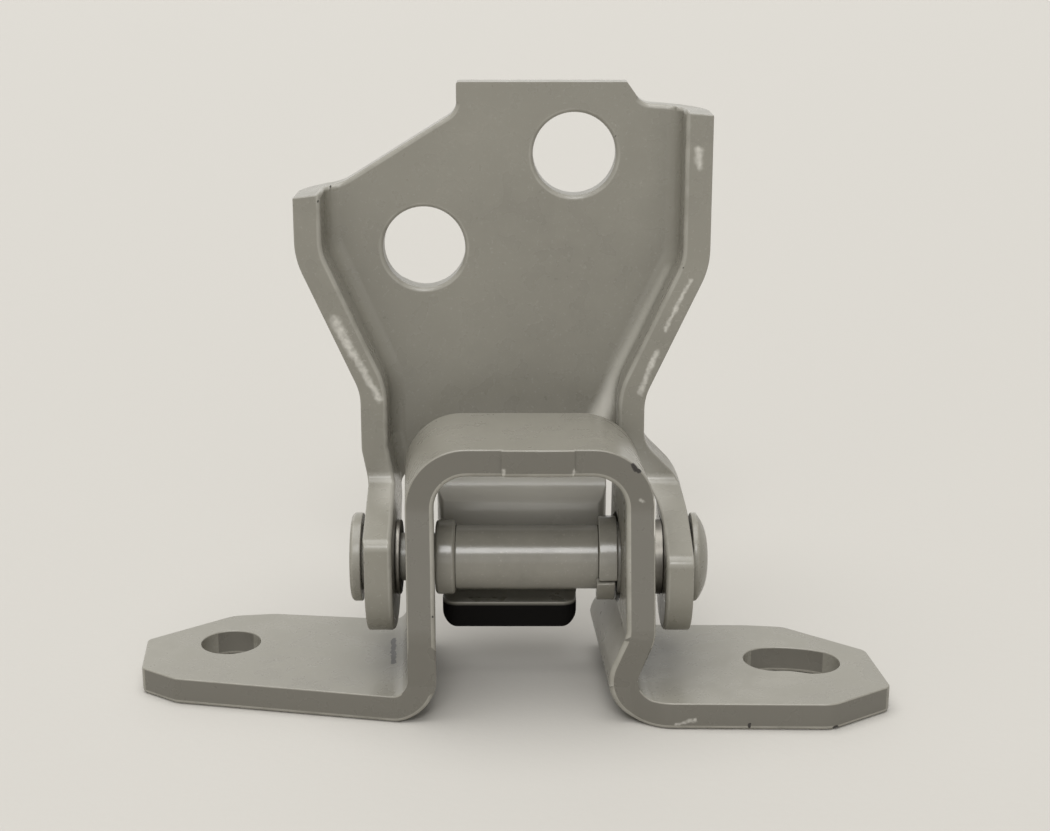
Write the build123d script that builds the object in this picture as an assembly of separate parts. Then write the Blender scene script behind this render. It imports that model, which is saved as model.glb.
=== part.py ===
from build123d import *
import math
import os

# Car door hinge: a hat-shaped body bracket bolted to the pillar, and a flanged door bracket
# that swings on a riveted pin. Millimetres, +Z up. The feet stand on z = 0, the pin runs along X
# above the origin, and the door plate stands upright behind the pin, towards +Y.

# Pin
pin_height = 23.0
pin_diameter = 8.0
pin_head_diameter = 14.7
riveted_head_thickness = 1.8
domed_head_thickness = 2.7
domed_head_rim = 0.9
domed_head_flat_diameter = 6.0
domed_head_rise = 0.35
pin_edge_break = 0.4

# Fits and gaps
running_clearance = 0.04
press_clearance = 0.01
side_clearance = 0.3
seat_clearance = 0.02

# Body bracket: strip, legs and bridge
strip_thickness = 4.6
strip_bend_inside = 2.8
strip_skew = 3.5
leg_inside = 15.2
bridge_top = 45.5
bridge_front = -13.0
bridge_back = 8.7
bridge_corner_inside = 5.2
knee_clearance = 0.3
leg_knee_radius = 6.0
leg_front_belly = -16.4
leg_front_low = -15.6
leg_back_belly = 10.5
leg_back_low = 17.5
leg_side_fillet = 12.0
right_leg_lean = 5.0
left_foot_root = -20.6
right_foot_root = 17.5
coin_left = -3.7
coin_right = 7.8
coin_height = 0.35

# Body bracket: feet, seen from above, outlines from the leg outwards
left_foot_outline = [
    (-58.0, -8.2),
    (-64.3, -3.8),
    (-65.7, 8.3),
    (-52.5, 19.4),
    (-45.0, 20.4),
    (-30.0, 18.6),
]
left_foot_corners = [3.0, 1.5, 1.5, 5.0, 9.0, 20.0]
right_foot_outline = [
    (22.5, -18.0),
    (49.5, -18.4),
    (59.9, -11.3),
    (58.4, 3.6),
    (45.6, 14.2),
    (39.0, 15.0),
    (23.0, 15.2),
]
right_foot_corners = [6.0, 5.0, 1.5, 2.5, 4.0, 6.0, 6.0]
washer_seat_diameter = 15.2
foot_root_fillet = 2.0
foot_hole_diameter = 10.2
foot_hole_x = -51.0
foot_hole_y = 7.2
slot_width = 9.8
slot_arc_radius = 12.0
slot_arc_x = 43.0
slot_arc_y = -12.0
slot_start_angle = 64.0
slot_end_angle = 95.0

# Door bracket: plate and flanges
plate_thickness = 4.5
plate_bend_inside = 2.6
plate_front = 20.0
plate_top = 99.4
tab_left = -11.5
tab_right = 17.0
left_shoulder_drop = 17.0
left_shoulder_fall = 1.0
left_slope_start = -31.2
left_tab_step = 4.8
left_slope_fillet = 8.0
right_shoulder_drop = 4.5
right_shoulder_fall = 1.0
right_step_x = 19.5
tab_root_fillet = 3.0
tab_corner_fillet = 0.4
flange_front = 10.2
left_flange_outside = -38.1
left_knee_drop = 27.9
left_joggle_step = 1.9
left_neck_length = 10.0
right_flange_outside = 30.6
right_knee_drop = 29.4
right_joggle_step = 7.0
right_neck_length = 8.0
flange_bend = 9.0
plate_hole_diameter = 14.0
left_hole_x = -17.2
left_hole_drop = 27.9
right_hole_x = 8.3
right_hole_drop = 12.0

# Door bracket: ears round the pin
left_ear_room = 1.6
right_ear_room = 2.9
ear_radius = 12.0
ear_end_flat = 2.0
ear_back_fillet = 8.0
ear_back_rise = 3.0
left_ear_start_rise = 10.5
right_ear_start_rise = 9.6
ear_shoulder_y = -11.6
ear_shoulder_fillet = 2.0
left_ear_shoulder_rise = 6.5
right_ear_shoulder_rise = 3.5
flange_foot_drop = 0.5
left_plate_bottom = 36.0
right_plate_bottom = 45.0
joggle_bend = 5.0
joggle_rise = 7.0

# Door bracket: hooked tongue between the legs
tongue_left_gap = 0.2
tongue_right_gap = 1.3
tongue_front = 7.6
tongue_shelf_top = 33.6
tongue_lip_top = 14.4
tongue_lip_front = 1.2
tongue_lip_left = -14.0
tongue_lip_right = 8.7
tongue_lip_corner = 2.5
tongue_taper_height = 25.0
tongue_taper_fillet = 6.0
tongue_waist_right = 10.3
tongue_waist_start = 11.8
tongue_waist_end = 14.0
tongue_waist_fillet = 2.0
tongue_root_height = 4.0
tongue_bend_inside = 1.5
tongue_corner = 2.6

# Tube, collar and clip between the legs
tube_diameter = 10.7
tube_left = -11.5
tube_right = 12.1
collar_diameter = 12.5
collar_edge_break = 0.4
clip_diameter = 13.8
clip_width = 3.0
clip_seam_angle = -19.0
clip_tail_angle = 54.0
clip_seam_gap = 3.0
clip_tail_shift = 0.35
clip_tail_lift = 0.25
clip_tail_clearance = 0.15
clip_tail_overlap = 6.0
inner_washer_diameter = 12.0
inner_washer_thickness = 1.05

# Bushes in the ears and washer under the riveted head
bush_wall = 1.1
bush_flange_diameter = 12.4
rivet_washer_thickness = 0.7
rivet_washer_diameter = 11.2

# Sizes that follow
pin_radius = pin_diameter / 2
bore_radius = pin_radius + running_clearance
leg_outside = leg_inside + strip_thickness
left_ear_inside = -(leg_outside + left_ear_room)
right_ear_inside = leg_outside + right_ear_room
left_ear_outside = left_ear_inside - plate_thickness
right_ear_outside = right_ear_inside + plate_thickness
left_neck_outside = left_ear_outside - left_joggle_step
right_neck_outside = right_ear_outside - right_joggle_step
tongue_left = -(leg_inside - tongue_left_gap)
tongue_right = leg_inside - tongue_right_gap
plate_back = plate_front + plate_thickness
bush_radius = bore_radius + bush_wall
bend_height = strip_thickness + strip_bend_inside
leg_knee_height = pin_height - washer_seat_diameter / 2 - knee_clearance
washer_seat_x = tube_right + clip_width + inner_washer_thickness + 3 * seat_clearance
skew_slope = math.tan(math.radians(strip_skew))
skew_stretch = 1 / math.cos(math.radians(strip_skew))
left_shoulder_height = plate_top - left_shoulder_drop
left_slope_top = plate_top - left_tab_step
right_shoulder_height = plate_top - right_shoulder_drop
left_knee_height = plate_top - left_knee_drop
right_knee_height = plate_top - right_knee_drop
left_hole_height = plate_top - left_hole_drop
right_hole_height = plate_top - right_hole_drop
ear_end_fillet = ear_radius - ear_end_flat / 2
left_ear_start_height = pin_height + left_ear_start_rise
right_ear_start_height = pin_height + right_ear_start_rise
left_neck_height = left_ear_start_height + joggle_bend + left_neck_length
right_neck_bottom = right_ear_start_height + joggle_rise
right_neck_height = right_neck_bottom + right_neck_length
flange_foot_height = left_ear_start_height - flange_foot_drop

# How far a blank or a cutter runs past the piece, and the radius of a corner that is cut away
beyond = 60.0
overshoot = 1.0
sharp_corner = 0.1


def front_prism(outline, near, far):
    """Run a front view (x, z) along Y."""
    plane = Plane(origin=(0, far, 0), x_dir=(1, 0, 0), z_dir=(0, -1, 0))
    return extrude(plane * outline, amount=far - near)


def side_prism(outline, left, right):
    """Run a side view (y, z) along X."""
    plane = Plane(origin=(left, 0, 0), x_dir=(0, 1, 0), z_dir=(1, 0, 0))
    return extrude(plane * outline, amount=right - left)


def top_prism(outline, low, high):
    """Run a plan (x, y) upwards."""
    return extrude(Plane.XY.offset(low) * outline, amount=high - low)


def rounded(points, radii):
    """Closed outline with its own radius at each corner."""
    return make_face(FilletPolyline(*points, radius=radii, close=True))


def turned(points):
    """Turn a half section (x along the pin, radius) about the pin line."""
    line = Polyline(*points, close=True)
    section = Plane(origin=(0, 0, pin_height), x_dir=(1, 0, 0), z_dir=(0, -1, 0)) * make_face(line)
    return revolve(section, axis=Axis((0, 0, pin_height), (1, 0, 0)))


def ring(left, right, inner_radius, outer_radius):
    """Plain ring on the pin."""
    corners = [(left, inner_radius), (right, inner_radius), (right, outer_radius), (left, outer_radius)]
    return turned(corners)


def rod(left, right, radius):
    """Plain rod on the pin line."""
    return turned([(left, 0), (right, 0), (right, radius), (left, radius)])


def bent_strip():
    """The whole strip in one section, run along its bend lines, which are skewed to the pin."""
    half = strip_thickness / 2
    leg_middle = leg_inside + half
    bridge_middle = bridge_top - half
    foot_bend = strip_bend_inside + half
    centre_line = FilletPolyline(
        (-2 * beyond, half),
        (-leg_middle, half),
        (-leg_middle, bridge_middle),
        (leg_middle, bridge_middle),
        (leg_middle, leg_knee_height),
        (leg_middle - right_leg_lean, half),
        (2 * beyond, half),
        radius=[
            foot_bend,
            bridge_corner_inside + half,
            bridge_corner_inside + half,
            leg_knee_radius,
            foot_bend,
        ],
    )
    band_view = trace(centre_line, strip_thickness)
    return Rot(0, 0, strip_skew) * front_prism(band_view, -2 * beyond, 2 * beyond)


def leg_face(distance, y):
    """X of a leg's face, which leans with the skewed bend lines, at a place along the pin's Y."""
    return distance * skew_stretch - y * skew_slope


def foot_plan(root, outline, corners):
    """Plan of one foot, from the leg outwards."""
    front_root = [(0, leg_front_low), (root, leg_front_low)]
    back_root = [(root, leg_back_low), (0, leg_back_low)]
    radii = [sharp_corner, foot_root_fillet] + corners + [foot_root_fillet, sharp_corner]
    return rounded(front_root + outline + back_root, radii)


def bridge_coin():
    """Raised flat that the press leaves in the middle of the bridge's front edge."""
    middle = (coin_left + coin_right) / 2
    height = bridge_top - strip_thickness / 2
    mark = Pos(middle, height) * Rectangle(coin_right - coin_left, strip_thickness)
    return front_prism(mark, bridge_front - coin_height, bridge_front)


def body_bracket():
    """Hat-shaped strip: two feet, two legs and the bridge over the pin."""
    strip = bent_strip()
    shoulder = bridge_top - bridge_corner_inside - strip_thickness
    side_view = rounded(
        [
            (bridge_front, bridge_top + overshoot),
            (bridge_front, shoulder),
            (leg_front_belly, leg_knee_height),
            (leg_front_low, bend_height - overshoot),
            (leg_back_low, bend_height - overshoot),
            (leg_back_belly, leg_knee_height),
            (bridge_back, shoulder),
            (bridge_back, bridge_top + overshoot),
        ],
        [
            sharp_corner,
            leg_side_fillet,
            leg_side_fillet,
            sharp_corner,
            sharp_corner,
            leg_side_fillet,
            leg_side_fillet,
            sharp_corner,
        ],
    )
    bracket = strip & side_prism(side_view, -beyond, beyond)
    left_foot = foot_plan(left_foot_root, left_foot_outline, left_foot_corners)
    right_foot = foot_plan(right_foot_root, right_foot_outline, right_foot_corners)
    bracket += strip & top_prism(left_foot, 0, bend_height)
    bracket += strip & top_prism(right_foot, 0, bend_height)
    bracket += bridge_coin()
    bracket -= rod(-beyond / 2, beyond / 2, pin_radius + press_clearance)
    bracket -= rod(0, washer_seat_x, washer_seat_diameter / 2)
    bracket -= Pos(foot_hole_x, foot_hole_y) * Cylinder(foot_hole_diameter / 2, 2 * bend_height)
    slot_sweep = slot_end_angle - slot_start_angle
    slot_line = CenterArc((slot_arc_x, slot_arc_y), slot_arc_radius, slot_start_angle, slot_sweep)
    bracket -= top_prism(SlotArc(slot_line, slot_width), -overshoot, strip_thickness + overshoot)
    return bracket


def side_outline():
    """Front view of the door bracket's two sides, open far above and below."""
    left = FilletPolyline(
        (left_flange_outside, plate_top + beyond),
        (left_flange_outside, left_knee_height),
        (left_neck_outside, left_neck_height),
        (left_neck_outside, left_ear_start_height + joggle_bend),
        (left_ear_outside, left_ear_start_height - joggle_bend),
        (left_ear_outside, -beyond),
        radius=[flange_bend + plate_thickness, flange_bend, joggle_bend, joggle_bend],
    )
    right = FilletPolyline(
        (right_ear_outside, -beyond),
        (right_ear_outside, right_ear_start_height),
        (right_neck_outside, right_neck_bottom),
        (right_neck_outside, right_neck_height),
        (right_flange_outside, right_knee_height),
        (right_flange_outside, plate_top + beyond),
        radius=[joggle_bend + plate_thickness, joggle_bend, flange_bend, flange_bend + plate_thickness],
    )
    return make_face([left, Line(left @ 1, right @ 0), right, Line(right @ 1, left @ 0)])


def bent_edges(block, radius):
    """Round the two side edges of a block's back face, as a bend does."""
    rim = block.edges().group_by(Axis.Y)[-1]
    return fillet(rim.filter_by(Axis.X, reverse=True), radius)


def channel():
    """Plate with a flange bent forwards along each side."""
    outline = side_outline()
    outer = front_prism(outline, -beyond, plate_back)
    inner = front_prism(offset(outline, -plate_thickness), -2 * beyond, plate_front)
    return bent_edges(outer, plate_bend_inside + plate_thickness) - bent_edges(inner, plate_bend_inside)


def ear_outline(shoulder_height, plate_bottom):
    """Side view of a flange and its ear, from the plate's top to the round end below the pin."""
    ear_bottom = pin_height - ear_radius
    behind = plate_back + overshoot
    return rounded(
        [
            (flange_front, plate_top + overshoot),
            (flange_front, flange_foot_height),
            (ear_shoulder_y, shoulder_height),
            (ear_shoulder_y, ear_bottom),
            (ear_radius, ear_bottom),
            (ear_radius, pin_height + ear_back_rise),
            (behind, plate_bottom),
            (behind, plate_top + overshoot),
        ],
        [
            sharp_corner,
            ear_shoulder_fillet,
            ear_shoulder_fillet,
            ear_end_fillet,
            ear_end_fillet,
            ear_back_fillet,
            sharp_corner,
            sharp_corner,
        ],
    )


def plate_outline():
    """Front view of the plate's stepped top, open far below."""
    left = left_flange_outside - overshoot
    right = right_flange_outside + overshoot
    return rounded(
        [
            (left, -beyond),
            (left, left_shoulder_height - left_shoulder_fall),
            (left_slope_start, left_shoulder_height),
            (tab_left, left_slope_top),
            (tab_left, plate_top),
            (tab_right, plate_top),
            (right_step_x, right_shoulder_height + right_shoulder_fall),
            (right, right_shoulder_height),
            (right, -beyond),
        ],
        [
            sharp_corner,
            sharp_corner,
            left_slope_fillet,
            tab_root_fillet,
            tab_corner_fillet,
            tab_corner_fillet,
            tab_root_fillet,
            sharp_corner,
            sharp_corner,
        ],
    )


def door_bracket():
    """Plate, two flanges with an ear each, and the hooked tongue, folded from one sheet."""
    folded = channel() & front_prism(plate_outline(), -beyond, beyond)
    left_view = ear_outline(pin_height + left_ear_shoulder_rise, left_plate_bottom)
    right_view = ear_outline(pin_height + right_ear_shoulder_rise, right_plate_bottom)
    sheet = folded & side_prism(left_view, -beyond, 0)
    sheet += folded & side_prism(right_view, 0, beyond)
    sheet += tongue()
    holes = Pos(left_hole_x, left_hole_height) * Circle(plate_hole_diameter / 2)
    holes += Pos(right_hole_x, right_hole_height) * Circle(plate_hole_diameter / 2)
    sheet -= front_prism(holes, plate_front - overshoot, plate_back + overshoot)
    bush_hole_radius = bush_radius + press_clearance
    sheet -= rod(left_ear_outside - overshoot, right_ear_outside + overshoot, bush_hole_radius)
    return sheet


def tongue():
    """Tongue of the plate: forwards under the bridge, down behind the tube and forwards below it."""
    outside = tongue_bend_inside + plate_thickness
    shelf_under = tongue_shelf_top - plate_thickness
    riser_back = tongue_front + plate_thickness
    lip_under = tongue_lip_top - plate_thickness
    start = right_plate_bottom + tongue_root_height
    face_line = FilletPolyline(
        (plate_front, start),
        (plate_front, tongue_shelf_top),
        (tongue_front, tongue_shelf_top),
        (tongue_front, tongue_lip_top),
        (tongue_lip_front, tongue_lip_top),
        radius=[tongue_bend_inside, outside, tongue_bend_inside],
    )
    back_line = FilletPolyline(
        (tongue_lip_front, lip_under),
        (riser_back, lip_under),
        (riser_back, shelf_under),
        (plate_back, shelf_under),
        (plate_back, start),
        radius=[outside, tongue_bend_inside, outside],
    )
    ends = [Line(face_line @ 1, back_line @ 0), Line(back_line @ 1, face_line @ 0)]
    folded = side_prism(make_face([face_line, back_line] + ends), tongue_left, tongue_right)
    front_view = rounded(
        [
            (tongue_lip_left, lip_under),
            (tongue_lip_left, tongue_lip_top),
            (tongue_left, tongue_taper_height),
            (tongue_left, start + overshoot),
            (tongue_right, start + overshoot),
            (tongue_right, tongue_taper_height),
            (tongue_lip_right, tongue_lip_top),
            (tongue_lip_right, lip_under),
        ],
        [
            tongue_lip_corner,
            sharp_corner,
            tongue_taper_fillet,
            sharp_corner,
            sharp_corner,
            tongue_taper_fillet,
            tongue_taper_fillet,
            tongue_lip_corner,
        ],
    )
    folded &= front_prism(front_view, 0, plate_back)
    split = tongue_lip_top + tongue_bend_inside
    riser = folded & top_prism(tongue_plan(tongue_front, tongue_left, tongue_right), split, start)
    lip = folded & top_prism(tongue_plan(tongue_lip_front, tongue_lip_left, tongue_lip_right), 0, split)
    heel = folded & top_prism(tongue_plan(tongue_front, tongue_left, tongue_right), 0, split)
    return riser + lip + heel - top_prism(tongue_waist(), 0, start)


def tongue_plan(front, left, right):
    """Plan of the tongue with its two front corners rounded."""
    behind = plate_back + overshoot
    corners = [(left, front), (right, front), (right, behind), (left, behind)]
    return rounded(corners, [tongue_corner, tongue_corner, sharp_corner, sharp_corner])


def tongue_waist():
    """Plan of the relief beside the tongue's root, which clears the right leg when the door is open."""
    behind = plate_back + overshoot
    outer = tongue_right + overshoot
    return rounded(
        [
            (outer, tongue_waist_start),
            (tongue_waist_right, tongue_waist_end),
            (tongue_waist_right, behind),
            (outer, behind),
        ],
        [sharp_corner, tongue_waist_fillet, sharp_corner, sharp_corner],
    )


def hinge_pin():
    """Pin with a domed head on the right and a riveted disc head on the left."""
    head_radius = pin_head_diameter / 2
    washer_left = left_ear_outside - side_clearance - rivet_washer_thickness
    left_face = washer_left - riveted_head_thickness
    dome_start = right_ear_outside + side_clearance
    dome_end = dome_start + domed_head_thickness
    flat_radius = domed_head_flat_diameter / 2
    outline = [
        Line((left_face, 0), (left_face, head_radius - pin_edge_break)),
        Line((left_face, head_radius - pin_edge_break), (left_face + pin_edge_break, head_radius)),
        Line((left_face + pin_edge_break, head_radius), (washer_left, head_radius)),
        Line((washer_left, head_radius), (washer_left, pin_radius)),
        Line((washer_left, pin_radius), (dome_start, pin_radius)),
        Line((dome_start, pin_radius), (dome_start, head_radius)),
        Line((dome_start, head_radius), (dome_start + domed_head_rim, head_radius)),
        SagittaArc((dome_start + domed_head_rim, head_radius), (dome_end, flat_radius), domed_head_rise),
        Line((dome_end, flat_radius), (dome_end, 0)),
        Line((dome_end, 0), (left_face, 0)),
    ]
    section = Plane(origin=(0, 0, pin_height), x_dir=(1, 0, 0), z_dir=(0, -1, 0)) * make_face(outline)
    return revolve(section, axis=Axis((0, 0, pin_height), (1, 0, 0)))


def spacer_tube():
    """Plain tube on the pin."""
    return ring(tube_left, tube_right, bore_radius, tube_diameter / 2)


def end_collar():
    """Collar between the left leg and the tube."""
    outer = collar_diameter / 2
    left = leg_face(-leg_inside, -outer) + seat_clearance
    right = tube_left - seat_clearance
    edge = collar_edge_break
    return turned(
        [
            (left, bore_radius),
            (right, bore_radius),
            (right, outer - edge),
            (right - edge, outer),
            (left + edge, outer),
            (left, outer - edge),
        ]
    )


def band(start_angle, sweep, left, right, inner_radius, outer_radius):
    """Part of a ring round the pin line, from an angle measured from +Y towards +Z."""
    turn = math.radians(start_angle)
    plane = Plane(origin=(0, 0, pin_height), x_dir=(1, 0, 0), z_dir=(0, -math.sin(turn), math.cos(turn)))
    corners = [(left, inner_radius), (right, inner_radius), (right, outer_radius), (left, outer_radius)]
    section = plane * make_face(Polyline(*corners, close=True))
    return revolve(section, axis=Axis((0, 0, pin_height), (1, 0, 0)), revolution_arc=sweep)


def split_clip():
    """Wrapped clip on the pin, with its seam at the front and the tail end a little out of line."""
    left = tube_right + seat_clearance
    right = left + clip_width
    outer = clip_diameter / 2
    tail_start = 180 - clip_seam_angle
    tail_end = tail_start + clip_tail_angle
    ring_start = tail_end - clip_tail_overlap
    ring_sweep = 360 - clip_tail_angle - clip_seam_gap + clip_tail_overlap
    clip = band(ring_start, ring_sweep, left, right, bore_radius, outer)
    clip += band(
        tail_start,
        clip_tail_angle,
        left - clip_tail_shift,
        right - clip_tail_shift,
        tube_diameter / 2 + clip_tail_clearance,
        outer + clip_tail_lift,
    )
    return clip


def shim_washer():
    """Washer between the clip and the right leg."""
    right = washer_seat_x - seat_clearance
    return ring(right - inner_washer_thickness, right, bore_radius, inner_washer_diameter / 2)


def rivet_washer():
    """Washer between the riveted head and the left ear."""
    right = left_ear_outside - side_clearance
    return ring(right - rivet_washer_thickness, right, bore_radius, rivet_washer_diameter / 2)


def ear_bush(side):
    """Flanged bush pressed into an ear, its flange towards the leg."""
    ear_inside = left_ear_inside if side < 0 else right_ear_inside
    ear_outside = left_ear_outside if side < 0 else right_ear_outside
    flange_radius = bush_flange_diameter / 2
    flange_face = leg_face(side * leg_outside, -side * flange_radius) + side * side_clearance
    return turned(
        [
            (flange_face, bore_radius),
            (ear_outside, bore_radius),
            (ear_outside, bush_radius),
            (ear_inside, bush_radius),
            (ear_inside, flange_radius),
            (flange_face, flange_radius),
        ]
    )


def main():
    os.makedirs("parts", exist_ok=True)
    pieces = {
        "body_bracket": body_bracket(),
        "door_bracket": door_bracket(),
        "hinge_pin": hinge_pin(),
        "spacer_tube": spacer_tube(),
        "end_collar": end_collar(),
        "split_clip": split_clip(),
        "shim_washer": shim_washer(),
        "rivet_washer": rivet_washer(),
        "left_bush": ear_bush(-1),
        "right_bush": ear_bush(1),
    }
    for name, piece in pieces.items():
        export_step(piece, f"parts/{name}.step")


main()
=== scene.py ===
import bpy
import bmesh
import math
from mathutils.bvhtree import BVHTree
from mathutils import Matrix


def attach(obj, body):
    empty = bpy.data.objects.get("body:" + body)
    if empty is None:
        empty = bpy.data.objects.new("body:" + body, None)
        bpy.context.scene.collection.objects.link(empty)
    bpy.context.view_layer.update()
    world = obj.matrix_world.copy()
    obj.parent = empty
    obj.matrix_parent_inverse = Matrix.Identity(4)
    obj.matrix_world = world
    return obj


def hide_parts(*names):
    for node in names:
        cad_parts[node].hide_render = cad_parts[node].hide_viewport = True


# Car door hinge: grey primer over pressed steel sheet, riveted pin, standing on its two feet

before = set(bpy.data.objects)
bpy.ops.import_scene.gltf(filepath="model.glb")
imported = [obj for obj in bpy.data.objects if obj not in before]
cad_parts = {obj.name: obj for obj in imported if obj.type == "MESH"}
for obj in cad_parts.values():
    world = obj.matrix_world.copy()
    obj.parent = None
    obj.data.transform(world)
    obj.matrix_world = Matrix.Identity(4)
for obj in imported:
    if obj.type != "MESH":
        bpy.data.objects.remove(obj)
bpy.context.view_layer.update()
print("frame loaded:", len(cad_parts), "nodes")

scene = bpy.context.scene
scene.view_settings.view_transform = "Standard"


def mm(size):
    return size * 0.001


def paint(hexColour):
    # sRGB hex to linear RGBA
    parts = [int(hexColour[i : i + 2], 16) / 255 for i in (0, 2, 4)]
    return [p / 12.92 if p <= 0.04045 else ((p + 0.055) / 1.055) ** 2.4 for p in parts] + [1.0]


def addNode(tree, kind, sockets=None, **settings):
    # a node with its settings; a socket takes a value, or another node's output
    node = tree.nodes.new(kind)
    for name, value in settings.items():
        setattr(node, name, value)
    for key, value in (sockets or {}).items():
        if isinstance(value, bpy.types.NodeSocket):
            tree.links.new(value, node.inputs[key])
        else:
            node.inputs[key].default_value = value
    return node


def newMaterial(name):
    material = bpy.data.materials.new(name)
    material.use_nodes = True
    material.node_tree.nodes.clear()
    return material, material.node_tree


def blobScale(spacing):
    # noise scale for one blob per so many millimetres, on Object coordinates in metres
    return 1.0 / mm(spacing)


def joined(tree, masks):
    # the strongest of several masks
    mask = masks[0]
    for other in masks[1:]:
        mask = addNode(tree, "ShaderNodeMath", {0: mask, 1: other}, operation="MAXIMUM").outputs[0]
    return mask


def streakMask(tree, place, streaks, core):
    # 1 along each streak (start, end, radius in mm), falling to 0 from its core to its radius
    masks = []
    for start, end, radius in streaks:
        along = [mm(b - a) for a, b in zip(start, end)]
        reach = sum(part * part for part in along)
        offset = addNode(
            tree,
            "ShaderNodeVectorMath",
            {0: place, 1: [mm(part) for part in start]},
            operation="SUBTRACT",
        ).outputs["Vector"]
        share = addNode(
            tree,
            "ShaderNodeVectorMath",
            {0: offset, 1: [part / reach for part in along]},
            operation="DOT_PRODUCT",
        ).outputs["Value"]
        share = addNode(tree, "ShaderNodeClamp", {"Value": share}).outputs["Result"]
        nearest = addNode(
            tree, "ShaderNodeVectorMath", {0: along, "Scale": share}, operation="SCALE"
        ).outputs["Vector"]
        away = addNode(
            tree, "ShaderNodeVectorMath", {0: offset, 1: nearest}, operation="DISTANCE"
        ).outputs["Value"]
        near = addNode(
            tree,
            "ShaderNodeMapRange",
            {
                "Value": away,
                "From Min": mm(radius * core),
                "From Max": mm(radius),
                "To Min": 1.0,
                "To Max": 0.0,
            },
            interpolation_type="SMOOTHSTEP",
        ).outputs["Result"]
        masks.append(near)
    return joined(tree, masks)


def greyPrimer(name, look, chips=(), rubsAndHighlights=(), patches=(), lipShade=None):
    # Sprayed primer on pressed steel: an even warm grey with a low sheen and soft orange peel.
    # Over rolled edges it lies thin, paler and shinier; small chips there show dark, dull steel.
    material, tree = newMaterial(name)
    place = addNode(tree, "ShaderNodeTexCoord").outputs["Object"]
    noise = {}
    for pattern, detail in (("cloud", 3.0), ("mottle", 4.0), ("peel", 2.0), ("grit", 1.0)):
        noise[pattern] = addNode(
            tree,
            "ShaderNodeTexNoise",
            {"Vector": place, "Scale": blobScale(look[pattern + "Spacing"]), "Detail": detail},
        ).outputs
    mottle = noise["mottle"]["Fac"]
    peel = noise["peel"]["Fac"]
    grit = noise["grit"]["Fac"]
    roll = addNode(tree, "ShaderNodeAttribute", attribute_name="edgeRoll").outputs["Fac"]
    frontShade = addNode(tree, "ShaderNodeAttribute", attribute_name="paintedFrontShade").outputs["Fac"]

    # broad cloudy tone, mottled with the plain paint colour
    tone = addNode(tree, "ShaderNodeValToRGB", {"Fac": noise["cloud"]["Fac"]})
    deep, pale = tone.color_ramp.elements
    deep.position, pale.position = look["cloudRange"]
    deep.color = paint(look["deepColour"])
    pale.color = paint(look["paleColour"])
    mottled = addNode(
        tree,
        "ShaderNodeMapRange",
        {
            "Value": mottle,
            "From Min": look["mottleRange"][0],
            "From Max": look["mottleRange"][1],
            "To Max": look["mottleStrength"],
        },
    ).outputs["Result"]
    colour = addNode(
        tree,
        "ShaderNodeMix",
        {0: mottled, 6: tone.outputs["Color"], 7: paint(look["paintColour"])},
        data_type="RGBA",
    ).outputs[2]

    # what lies over that tone, from the lowest coat to the highest: a mask and its colour
    coats = []

    # specks of dust and overspray in the film
    speck = addNode(
        tree,
        "ShaderNodeMapRange",
        {
            "Value": grit,
            "From Min": look["speckRange"][0],
            "From Max": look["speckRange"][1],
            "To Max": look["speckStrength"],
        },
    ).outputs["Result"]
    coats.append((speck, "speckColour"))

    # soft pale patches, which stand in for broad highlights on some bends
    if patches:
        palePatch = streakMask(tree, place, patches, look["softCore"])
        coats.append((palePatch, "patchColour"))

    # thin, pale paint over the rolled edges, stronger in places
    rollPatch = addNode(
        tree,
        "ShaderNodeMapRange",
        {
            "Value": mottle,
            "From Min": look["rollRange"][0],
            "From Max": look["rollRange"][1],
            "To Min": look["rollLeast"],
            "To Max": look["rollMost"],
        },
    ).outputs["Result"]
    rollMask = addNode(
        tree, "ShaderNodeMath", {0: roll, 1: rollPatch}, operation="MULTIPLY"
    ).outputs[0]
    coats.append((rollMask, "rollColour"))

    # painted shade: the strip's faces that face the front, which are its sheared edges, are a shade
    # darker
    coats.append((frontShade, "frontShadeColour"))

    # the grain that breaks up the edge of every chip and rub
    centred = addNode(
        tree,
        "ShaderNodeVectorMath",
        {0: noise["peel"]["Color"], 1: (0.5, 0.5, 0.5)},
        operation="SUBTRACT",
    ).outputs["Vector"]
    shift = addNode(
        tree, "ShaderNodeVectorMath", {0: centred, "Scale": mm(look["ragged"])}, operation="SCALE"
    ).outputs["Vector"]
    wobbled = addNode(
        tree, "ShaderNodeVectorMath", {0: place, 1: shift}, operation="ADD"
    ).outputs["Vector"]

    # chips down to dark steel: a few small ones anywhere on the rolls, and the ones in the list
    chipNoise = addNode(
        tree,
        "ShaderNodeMapRange",
        {"Value": peel, "From Min": look["chipRange"][0], "From Max": look["chipRange"][1]},
    ).outputs["Result"]
    chipMask = addNode(
        tree, "ShaderNodeMath", {0: roll, 1: chipNoise}, operation="MULTIPLY"
    ).outputs[0]
    if chips:
        chipMask = joined(tree, [chipMask, streakMask(tree, wobbled, chips, look["chipCore"])])
    coats.append((chipMask, "steelColour"))

    # the sheen follows the mottle, and is higher on the rolls and the pale patches
    roughness = addNode(
        tree,
        "ShaderNodeMapRange",
        {
            "Value": mottle,
            "From Min": look["sheenRange"][0],
            "From Max": look["sheenRange"][1],
            "To Min": look["roughLeast"],
            "To Max": look["roughMost"],
        },
    ).outputs["Result"]
    shinier = [(rollMask, look["rollShine"])]
    if patches:
        shinier.append((palePatch, look["patchShine"]))
    for mask, shine in shinier:
        less = addNode(tree, "ShaderNodeMath", {0: mask, 1: shine}, operation="MULTIPLY").outputs[0]
        roughness = addNode(
            tree, "ShaderNodeMath", {0: roughness, 1: less}, operation="SUBTRACT"
        ).outputs[0]

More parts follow.
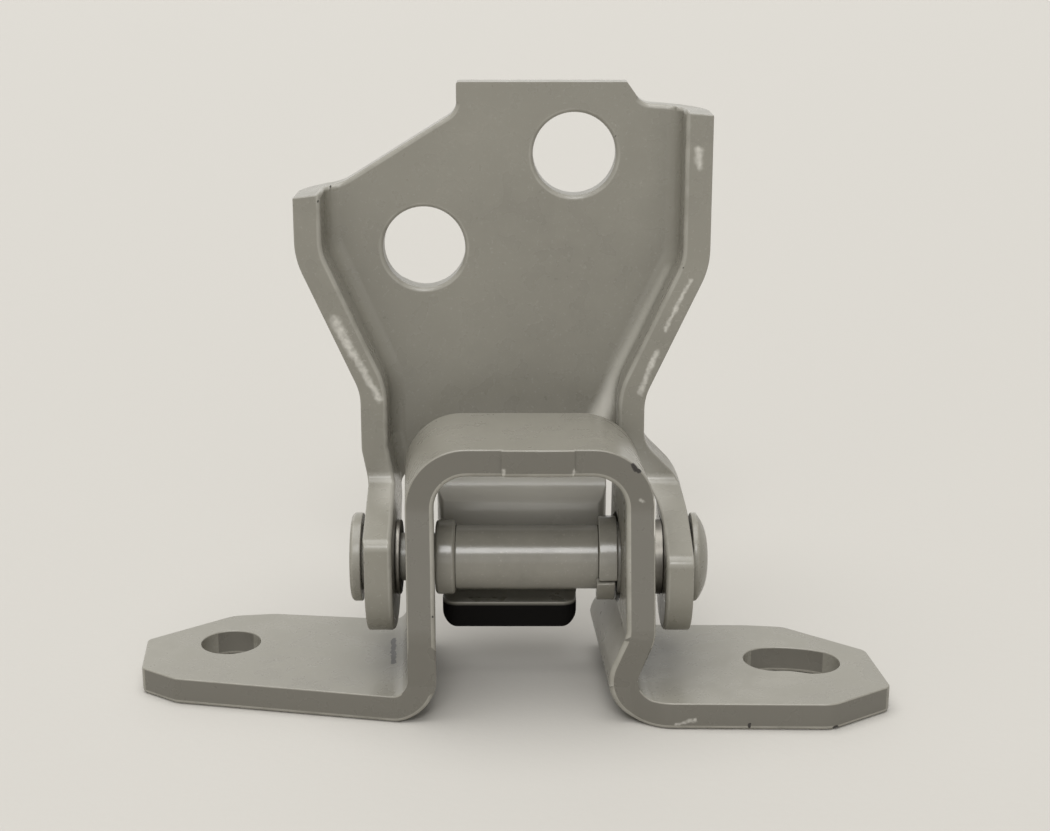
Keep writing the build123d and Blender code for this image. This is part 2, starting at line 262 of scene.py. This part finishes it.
    # orange peel with grit on it, over a slow wave
    height = peel
    for pattern, share in ((grit, look["gritHeight"]), (mottle, look["waveHeight"])):
        height = addNode(
            tree, "ShaderNodeMath", {0: pattern, 1: share, 2: height}, operation="MULTIPLY_ADD"
        ).outputs[0]

    # paint rubbed thin and bright against another hinge, and painted highlights along the right
    # flange's edge: a soft streak, broken up
    if rubsAndHighlights:
        rubAndHighlight = streakMask(tree, wobbled, rubsAndHighlights, look["softCore"])
        lumps = addNode(
            tree,
            "ShaderNodeTexNoise",
            {"Vector": place, "Scale": blobScale(look["lumpSpacing"]), "Detail": 3.0},
        ).outputs["Fac"]
        torn = addNode(
            tree,
            "ShaderNodeMapRange",
            {
                "Value": lumps,
                "From Min": look["tornRange"][0],
                "From Max": look["tornRange"][1],
                "To Min": look["tornLeast"],
            },
        ).outputs["Result"]
        brokenRubAndHighlight = addNode(
            tree, "ShaderNodeMath", {0: rubAndHighlight, 1: torn}, operation="MULTIPLY"
        ).outputs[0]
        coats.append((brokenRubAndHighlight, "rubAndHighlightColour"))
        height = addNode(
            tree,
            "ShaderNodeMath",
            {0: brokenRubAndHighlight, 1: look["lumpHeight"], 2: height},
            operation="MULTIPLY_ADD",
        ).outputs[0]

    # painted shade: the tongue's lip, deep in shade under the pin, is painted black and matt
    specular = look["specular"]
    if lipShade:
        split = addNode(tree, "ShaderNodeSeparateXYZ", {"Vector": place})
        edge = look["lipShadeEdge"]
        walls = []
        for axis, (low, high) in lipShade.items():
            for start, end in ((low - edge, low + edge), (high + edge, high - edge)):
                wall = addNode(
                    tree,
                    "ShaderNodeMapRange",
                    {"Value": split.outputs[axis], "From Min": mm(start), "From Max": mm(end)},
                ).outputs["Result"]
                walls.append(wall)
        lipShadeMask = walls[0]
        for wall in walls[1:]:
            lipShadeMask = addNode(
                tree, "ShaderNodeMath", {0: lipShadeMask, 1: wall}, operation="MULTIPLY"
            ).outputs[0]
        coats.append((lipShadeMask, "lipShadeColour"))
        roughness = addNode(
            tree, "ShaderNodeMix", {0: lipShadeMask, 2: roughness, 3: look["lipShadeRoughness"]}
        ).outputs[0]
        specular = addNode(
            tree,
            "ShaderNodeMapRange",
            {"Value": lipShadeMask, "To Min": look["specular"], "To Max": look["lipShadeSpecular"]},
        ).outputs["Result"]

    for mask, coat in coats:
        colour = addNode(
            tree, "ShaderNodeMix", {0: mask, 6: colour, 7: paint(look[coat])}, data_type="RGBA"
        ).outputs[2]
    bump = addNode(
        tree,
        "ShaderNodeBump",
        {
            "Strength": look["bumpStrength"],
            "Distance": mm(look["bumpHeight"]),
            "Height": height,
        },
    )
    shader = addNode(
        tree,
        "ShaderNodeBsdfPrincipled",
        {
            "Base Color": colour,
            "Roughness": roughness,
            "Normal": bump.outputs["Normal"],
            "IOR": look["glossIndex"],
            "Specular IOR Level": specular,
            "Metallic": 0.0,
        },
    )
    addNode(tree, "ShaderNodeOutputMaterial", {"Surface": shader.outputs["BSDF"]})
    return material


# spacings and heights in mm; a range is where a noise starts and stops to count
primer = {
    "paintColour": "868379",
    "paleColour": "8c897f",
    "deepColour": "7c7970",
    "speckColour": "a19e95",
    "rollColour": "a09d94",
    # painted shade on the front-facing faces
    "frontShadeColour": "6a675f",
    "patchColour": "d2cfc6",
    "steelColour": "2e2b28",
    # rubbed paint, and painted highlights on the right flange
    "rubAndHighlightColour": "c6c3bb",
    # painted shade: the black of the tongue's lip
    "lipShadeColour": "121110",
    "cloudSpacing": 26,
    "cloudRange": (0.3, 0.7),
    "mottleSpacing": 4.0,
    "mottleRange": (0.35, 0.65),
    "mottleStrength": 0.8,
    "peelSpacing": 1.2,  # orange peel, about 1 mm from crest to crest
    "gritSpacing": 0.45,
    "gritHeight": 0.25,
    "speckRange": (0.66, 0.76),
    "speckStrength": 0.35,
    "rollRange": (0.3, 0.6),
    "rollLeast": 0.15,
    "rollMost": 0.65,
    "rollShine": 0.1,
    "softCore": 0.1,  # share of a patch's or rub's radius that is full
    "patchShine": 0.06,
    "chipRange": (0.74, 0.76),
    "chipCore": 0.8,
    "ragged": 1.0,
    "lumpSpacing": 0.9,
    "lumpHeight": 0.3,
    "tornRange": (0.3, 0.7),
    "tornLeast": 0.45,
    "lipShadeEdge": 0.3,
    "lipShadeRoughness": 0.75,
    "lipShadeSpecular": 0.05,
    "specular": 0.5,
    "glossIndex": 1.5,
    "sheenRange": (0.3, 0.7),
    "roughLeast": 0.24,
    "roughMost": 0.34,
    "waveHeight": 1.5,
    "bumpStrength": 0.35,
    "bumpHeight": 0.02,
}


# The edges of every piece: a wide roll where the press left one, a fine break elsewhere.
# Lengths in mm, angles in degrees.
dressing = {
    "weld": 0.002,
    "flat": 0.5,  # faces that turn less than this become one
    "sharpEdge": 40,  # edges that turn more than this are rounded
    "sharpShading": 38,  # edges that turn more than this aren't shaded smooth
    "shortest": 0.02,  # shorter edges stay sharp
    "offSurface": 0.4,  # a bevel's corner further off the CAD surface ran past its neighbours
    "turnedOver": -0.2,  # a face whose normal agrees less than this with the surface is inside out
    "reachStep": 0.25,  # how much wider each new try clears the crowded spots
    "evenWeight": 100,
}


def isCrowded(edge, crowded, reach):
    # whether the edge passes within reach of a crowded spot
    start = edge.verts[0].co
    along = edge.verts[1].co - start
    if along.length < mm(dressing["shortest"]):
        return True
    for spot in crowded:
        share = min(max((spot - start).dot(along) / along.length_squared, 0.0), 1.0)
        if (start + along * share - spot).length < reach:
            return True
    return False


def roundEdges(bm, edges, isInside, crowded, reach):
    # the wide roll on the edges that isInside picks, then the fine break on the rest;
    # an edge near a crowded spot, where a bevel has no room, stays sharp
    mark = bm.faces.layers.float.new("edgeRoll")
    frontShade = bm.faces.layers.float.new("paintedFrontShade")
    for face in bm.faces:
        # faces turned to the front are marked for the painted shade
        if "frontShadeFacing" in edges and face.normal.y < edges["frontShadeFacing"]:
            face[frontShade] = 1.0
    passes = [(edges["roll"], edges["rollSteps"], isInside)] if isInside else []
    passes.append((edges["break"], edges["breakSteps"], None))
    sharp = math.radians(dressing["sharpEdge"])
    for width, steps, wanted in passes:
        chosen = [e for e in bm.edges if e.is_manifold and e.calc_face_angle() > sharp]
        if wanted:
            chosen = [e for e in chosen if any(wanted(f) for f in e.link_faces)]
        else:
            chosen = [e for e in chosen if not any(f[mark] > 0 for f in e.link_faces)]
        chosen = [e for e in chosen if not isCrowded(e, crowded, reach)]
        rounded = bmesh.ops.bevel(
            bm,
            geom=chosen,
            offset=mm(width),
            offset_type="OFFSET",
            segments=steps,
            profile=0.5,
            affect="EDGES",
            clamp_overlap=False,
            material=-1,
            loop_slide=False,
        )
        for face in rounded["faces"]:
            face[mark] = 1.0 if wanted else edges["breakMark"]
            face[frontShade] = 0.0


def crowdedSpots(bm, whole):
    # where a bevel ran past its neighbours: faces turned inside out, and corners off the surface
    surface = BVHTree.FromBMesh(whole)
    spots = []
    for face in bm.faces:
        centre = face.calc_center_median()
        normal, _, away = surface.find_nearest(centre)[1:]
        # a ring-shaped face has its centre off the surface, which says nothing of its side
        if away < mm(dressing["offSurface"]) and normal.dot(face.normal) < dressing["turnedOver"]:
            spots.append(centre)
    for vert in bm.verts:
        if surface.find_nearest(vert.co)[3] > mm(dressing["offSurface"]):
            spots.append(vert.co.copy())
    return spots


def dressPiece(nodeName, bodyName, material, edges, isInside=None):
    # a welded copy of the CAD node with its edges rounded, which stands for the node
    whole = bmesh.new()
    whole.from_mesh(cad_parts[nodeName].data)
    bmesh.ops.remove_doubles(whole, verts=whole.verts, dist=mm(dressing["weld"]))
    bmesh.ops.dissolve_limit(
        whole, angle_limit=math.radians(dressing["flat"]), verts=whole.verts, edges=whole.edges
    )
    crowded = []
    for attempt in range(edges["attempts"]):
        bm = whole.copy()
        reach = mm(edges["clearance"]) * (1 + attempt * dressing["reachStep"])
        roundEdges(bm, edges, isInside, crowded, reach)
        found = crowdedSpots(bm, whole)
        if not found:
            break
        crowded += found
    print(nodeName, "rounded in", attempt + 1, "rounds;", len(found), "crowded spots left")
    whole.free()
    for face in bm.faces:
        face.smooth = True
    mesh = bpy.data.meshes.new(nodeName + "_painted")
    bm.to_mesh(mesh)
    bm.free()
    mesh.set_sharp_from_angle(angle=math.radians(dressing["sharpShading"]))
    mesh.materials.append(material)
    piece = bpy.data.objects.new(nodeName + "_painted", mesh)
    scene.collection.objects.link(piece)
    even = piece.modifiers.new("even", "WEIGHTED_NORMAL")
    even.keep_sharp = True
    even.weight = dressing["evenWeight"]
    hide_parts(nodeName)
    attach(piece, bodyName)
    return piece


sheetEdges = {
    "rollSteps": 3,
    "break": 0.22,
    "breakSteps": 2,
    "breakMark": 0.35,
    "clearance": 0.8,  # an edge this near to a crowded spot stays sharp
    "attempts": 12,
}

# the pillar bracket: one strip, bent into two feet, two legs and the bridge
bodySheet = {
    **sheetEdges,
    "roll": 0.75,
    # faces turned to the front further than this get the painted shade
    "frontShadeFacing": -0.8,
    "level": 0.7,
    "upright": 0.5,
    "legReach": 23,
    "footTop": 1.0,
}
# streaks in mm: start, end and radius
bodyChips = [
    ((36.1, -18.3, 0.7), (36.1, -18.3, 1.1), 0.35),
    ((49.8, -18.0, 0.4), (50.2, -18.0, 0.4), 0.5),
    ((17.0, -13.0, 42.8), (17.4, -13.0, 42.4), 0.5),
    ((17.8, -13.0, 42.1), (18.0, -13.0, 41.9), 0.4),
    ((20.4, -13.8, 33.9), (20.4, -13.8, 34.3), 0.3),
    ((16.3, -15.9, 21.3), (16.3, -15.9, 21.7), 0.3),
    ((-22.9, 8.5, 4.62), (-22.2, -2.0, 4.65), 0.5),  # scuff on the left foot
]
bodyRubs = [
    ((24.4, -17.7, 1.0), (27.4, -18.0, 1.8), 0.5),
    ((18.2, -13.3, 37.4), (19.6, -13.5, 36.2), 0.5),
    ((-3.4, -13.35, 41.0), (-3.4, -13.35, 42.2), 0.4),
    ((7.7, -13.35, 41.0), (7.7, -13.35, 42.2), 0.4),
]
bodyPatches = [
    ((20.6, -13.5, 32.0), (20.6, -13.5, 37.0), 1.2),  # down the right leg's shoulder
]


def bodyInside(face):
    # the strip's inner face: between the legs, under the bridge and under the feet
    spot = face.calc_center_median()
    if face.normal.z < -bodySheet["level"]:
        return True
    if abs(spot.x) > mm(bodySheet["legReach"]) or spot.z < mm(bodySheet["footTop"]):
        return False
    return abs(face.normal.x) > bodySheet["upright"] and face.normal.x * spot.x < 0


# the door bracket: the plate, its two flanges with their ears, and the tongue
doorSheet = {
    **sheetEdges,
    "roll": 0.7,
    "facing": 0.7,
    "upright": 0.5,
    "plateFront": 19.5,
    "flangeReach": 15.0,
}
doorRubsAndHighlights = [
    ((-31.8, 10.2, 61.2), (-28.6, 10.2, 55.0), 1.2),
    ((-28.6, 10.2, 55.0), (-24.6, 10.2, 47.4), 0.9),
    # painted highlights along the right flange's inner edge and top
    ((27.3, 10.2, 67.9), (23.4, 10.2, 59.4), 0.55),
    ((22.0, 10.2, 55.6), (19.4, 10.2, 48.4), 0.7),
    ((28.2, 10.2, 89.4), (28.4, 10.2, 86.8), 0.9),
]
doorPatches = [
    ((-15.0, 7.0, 30.5), (14.0, 7.0, 30.5), 13.0),  # across the tongue, behind the pin
    ((25.6, 20.0, 67.0), (13.0, 20.0, 41.5), 2.8),  # in the bend of the right flange
    ((23.8, -11.6, 28.6), (24.2, -11.4, 32.6), 2.6),  # over the right ear's ledge
]
tongueLipShade = {"X": (-16, 16), "Y": (-5, 13.5), "Z": (5, 14.0)}  # painted shade, black, round the tongue's lip


def doorInside(face):
    # the plate's front face and the flanges' inner faces
    spot = face.calc_center_median()
    if face.normal.y < -doorSheet["facing"]:
        return spot.y > mm(doorSheet["plateFront"])
    if abs(spot.x) <= mm(doorSheet["flangeReach"]):
        return False
    return abs(face.normal.x) > doorSheet["upright"] and face.normal.x * spot.x < 0


bodyPaint = greyPrimer(
    "sprayedPrimerBody", primer, chips=bodyChips, rubsAndHighlights=bodyRubs, patches=bodyPatches
)
doorPaint = greyPrimer(
    "sprayedPrimerDoor", primer, rubsAndHighlights=doorRubsAndHighlights, patches=doorPatches, lipShade=tongueLipShade
)
dressPiece("body_bracket", "body_leaf", bodyPaint, bodySheet, bodyInside)
dressPiece("door_bracket", "door_leaf", doorPaint, doorSheet, doorInside)
print("brackets dressed")


# the pin and what sits on it: turned pieces with a fine break on their edges
turnedPiece = {
    "break": 0.18,
    "breakSteps": 2,
    "breakMark": 0.5,
    "clearance": 0.5,
    "attempts": 6,
}
pinPrimer = {**primer, "cloudSpacing": 9, "mottleSpacing": 2.2, "peelSpacing": 0.9}
sleevePrimer = {
    **primer,
    "paintColour": "86837a",
    "cloudSpacing": 8,
    "mottleSpacing": 1.8,
    "peelSpacing": 0.9,
    "roughLeast": 0.15,
    "roughMost": 0.21,
}
washerPrimer = {
    **primer,
    "paintColour": "7a776e",
    "deepColour": "69665f",
    "cloudSpacing": 5,
    "mottleSpacing": 1.5,
}
pinPaint = greyPrimer("sprayedPrimerPin", pinPrimer)
sleevePaint = greyPrimer("sprayedPrimerSleeve", sleevePrimer)
washerPaint = greyPrimer("sprayedPrimerWasher", washerPrimer)
dressPiece("hinge_pin", "body_leaf", pinPaint, turnedPiece)
for nodeName in ("spacer_tube", "end_collar", "split_clip"):
    dressPiece(nodeName, "body_leaf", sleevePaint, turnedPiece)
for nodeName in ("shim_washer", "rivet_washer"):
    dressPiece(nodeName, "body_leaf", washerPaint, turnedPiece)


def turnedSteel(name, look):
    # Turned mild steel: grey metal with fine rings round the pin's axis, dull from handling oil.
    # The rings are drawn coarser than a lathe leaves them, so that they show.
    material, tree = newMaterial(name)
    place = addNode(tree, "ShaderNodeTexCoord").outputs["Object"]
    rings = addNode(
        tree,
        "ShaderNodeTexWave",
        {
            "Vector": place,
            "Scale": blobScale(look["ringSpacing"]) / math.tau,
            "Distortion": look["ringWander"],
            "Detail": 2.0,
        },
        wave_type="BANDS",
        bands_direction="X",
    )
    film = addNode(
        tree,
        "ShaderNodeTexNoise",
        {"Vector": place, "Scale": blobScale(look["filmSpacing"]), "Detail": 3.0},
    ).outputs["Fac"]
    colour = addNode(
        tree,
        "ShaderNodeMix",
        {0: film, 6: paint(look["steelColour"]), 7: paint(look["filmColour"])},
        data_type="RGBA",
    ).outputs[2]
    roughness = addNode(
        tree,
        "ShaderNodeMapRange",
        {"Value": film, "To Min": look["roughLeast"], "To Max": look["roughMost"]},
    ).outputs["Result"]
    bump = addNode(
        tree,
        "ShaderNodeBump",
        {
            "Strength": look["ringStrength"],
            "Distance": mm(look["ringHeight"]),
            "Height": rings.outputs["Fac"],
        },
    )
    shader = addNode(
        tree,
        "ShaderNodeBsdfPrincipled",
        {
            "Base Color": colour,
            "Roughness": roughness,
            "Normal": bump.outputs["Normal"],
            "Metallic": 1.0,
        },
    )
    addNode(tree, "ShaderNodeOutputMaterial", {"Surface": shader.outputs["BSDF"]})
    return material


bushSteel = {
    "steelColour": "8d8a84",
    "filmColour": "6a665f",
    "ringSpacing": 0.35,
    "ringWander": 1.5,
    "ringStrength": 0.2,
    "ringHeight": 0.02,
    "filmSpacing": 3.0,
    "roughLeast": 0.32,
    "roughMost": 0.5,
}
bushFinish = turnedSteel("turnedSteelBush", bushSteel)
for nodeName in ("left_bush", "right_bush"):
    dressPiece(nodeName, "door_leaf", bushFinish, turnedPiece)
print("pin, sleeves and bushes dressed")


# floor, light and camera; angles in degrees, places in metres
studio = {
    "floorColour": "bebbb5",
    "floorSize": 12.0,
    "floorRoughness": 0.75,
    "pebbleSpacing": 1.6,
    "pebbleStrength": 0.25,
    "pebbleHeight": 0.15,
    "skyColour": "f8f6f0",
    "skyStrength": 0.3,
    "skySeen": 0.66,  # as pale as the floor, where the camera or a reflection sees past it
    "roofStrength": 2.5,  # broad light from the room's ceiling
    "roofTilt": (2, -6, 0),
    "roofSpread": 60,
    "lampStrength": 0.8,  # small lamp above the camera, whose bright line lies along the tube
    "lampTilt": (48, 0, -2),
    "lampSpread": 20,
    "frontStrength": 0.8,  # wide low light from the front, which reaches under the bridge
    "frontTilt": (79, 0, -2),
    "frontSpread": 70,
    "wallStrength": 0.35,  # pale wall behind the hinge, which the level faces mirror
    "wallTilt": (-70, 0, 14),
    "wallSpread": 70,
    "cameraSpot": (0.0, -0.283, 0.127),
    "cameraPitch": 74.3,
    "cameraAngle": 32.52,
    "cameraNearest": 0.01,
}


def foamBoard(name, look):
    # Pale foam board: matt white with a fine pebbled skin.
    material, tree = newMaterial(name)
    place = addNode(tree, "ShaderNodeTexCoord").outputs["Object"]
    pebble = addNode(
        tree,
        "ShaderNodeTexNoise",
        {"Vector": place, "Scale": blobScale(look["pebbleSpacing"]), "Detail": 2.0},
    )
    bump = addNode(
        tree,
        "ShaderNodeBump",
        {
            "Strength": look["pebbleStrength"],
            "Distance": mm(look["pebbleHeight"]),
            "Height": pebble.outputs["Fac"],
        },
    )
    shader = addNode(
        tree,
        "ShaderNodeBsdfPrincipled",
        {
            "Base Color": paint(look["floorColour"]),
            "Roughness": look["floorRoughness"],
            "Normal": bump.outputs["Normal"],
        },
    )
    addNode(tree, "ShaderNodeOutputMaterial", {"Surface": shader.outputs["BSDF"]})
    return material


bm = bmesh.new()
bmesh.ops.create_grid(bm, x_segments=1, y_segments=1, size=studio["floorSize"] / 2)
floorMesh = bpy.data.meshes.new("floor")
bm.to_mesh(floorMesh)
bm.free()
floorMesh.materials.append(foamBoard("foamBoardFloor", studio))
floor = bpy.data.objects.new("floor", floorMesh)
scene.collection.objects.link(floor)

world = bpy.data.worlds.new("studioSky")
world.use_nodes = True
scene.world = world
skyTree = world.node_tree
sky = skyTree.nodes["Background"]
sky.inputs["Color"].default_value = paint(studio["skyColour"])
rays = addNode(skyTree, "ShaderNodeLightPath").outputs
seenBy = [rays["Is Camera Ray"], rays["Is Glossy Ray"], rays["Is Transmission Ray"]]
skyLevel = addNode(
    skyTree,
    "ShaderNodeMapRange",
    {
        "Value": joined(skyTree, seenBy),
        "To Min": studio["skyStrength"],
        "To Max": studio["skySeen"],
    },
)
skyTree.links.new(skyLevel.outputs["Result"], sky.inputs["Strength"])

# lamps so far away that they are even over the floor, each as wide as its spread
for lampName in ("roof", "lamp", "front", "wall"):
    lamp = bpy.data.lights.new(lampName + "Light", "SUN")
    lamp.angle = math.radians(studio[lampName + "Spread"])
    lamp.energy = studio[lampName + "Strength"]
    holder = bpy.data.objects.new(lampName + "Light", lamp)
    holder.rotation_euler = [math.radians(turn) for turn in studio[lampName + "Tilt"]]
    scene.collection.objects.link(holder)

cameraData = bpy.data.cameras.new("camera")
cameraData.sensor_fit = "HORIZONTAL"
cameraData.angle = math.radians(studio["cameraAngle"])
cameraData.clip_start = studio["cameraNearest"]
camera = bpy.data.objects.new("camera", cameraData)
camera.location = studio["cameraSpot"]
camera.rotation_euler = (math.radians(studio["cameraPitch"]), 0.0, 0.0)
scene.collection.objects.link(camera)
scene.camera = camera
print("studio set")
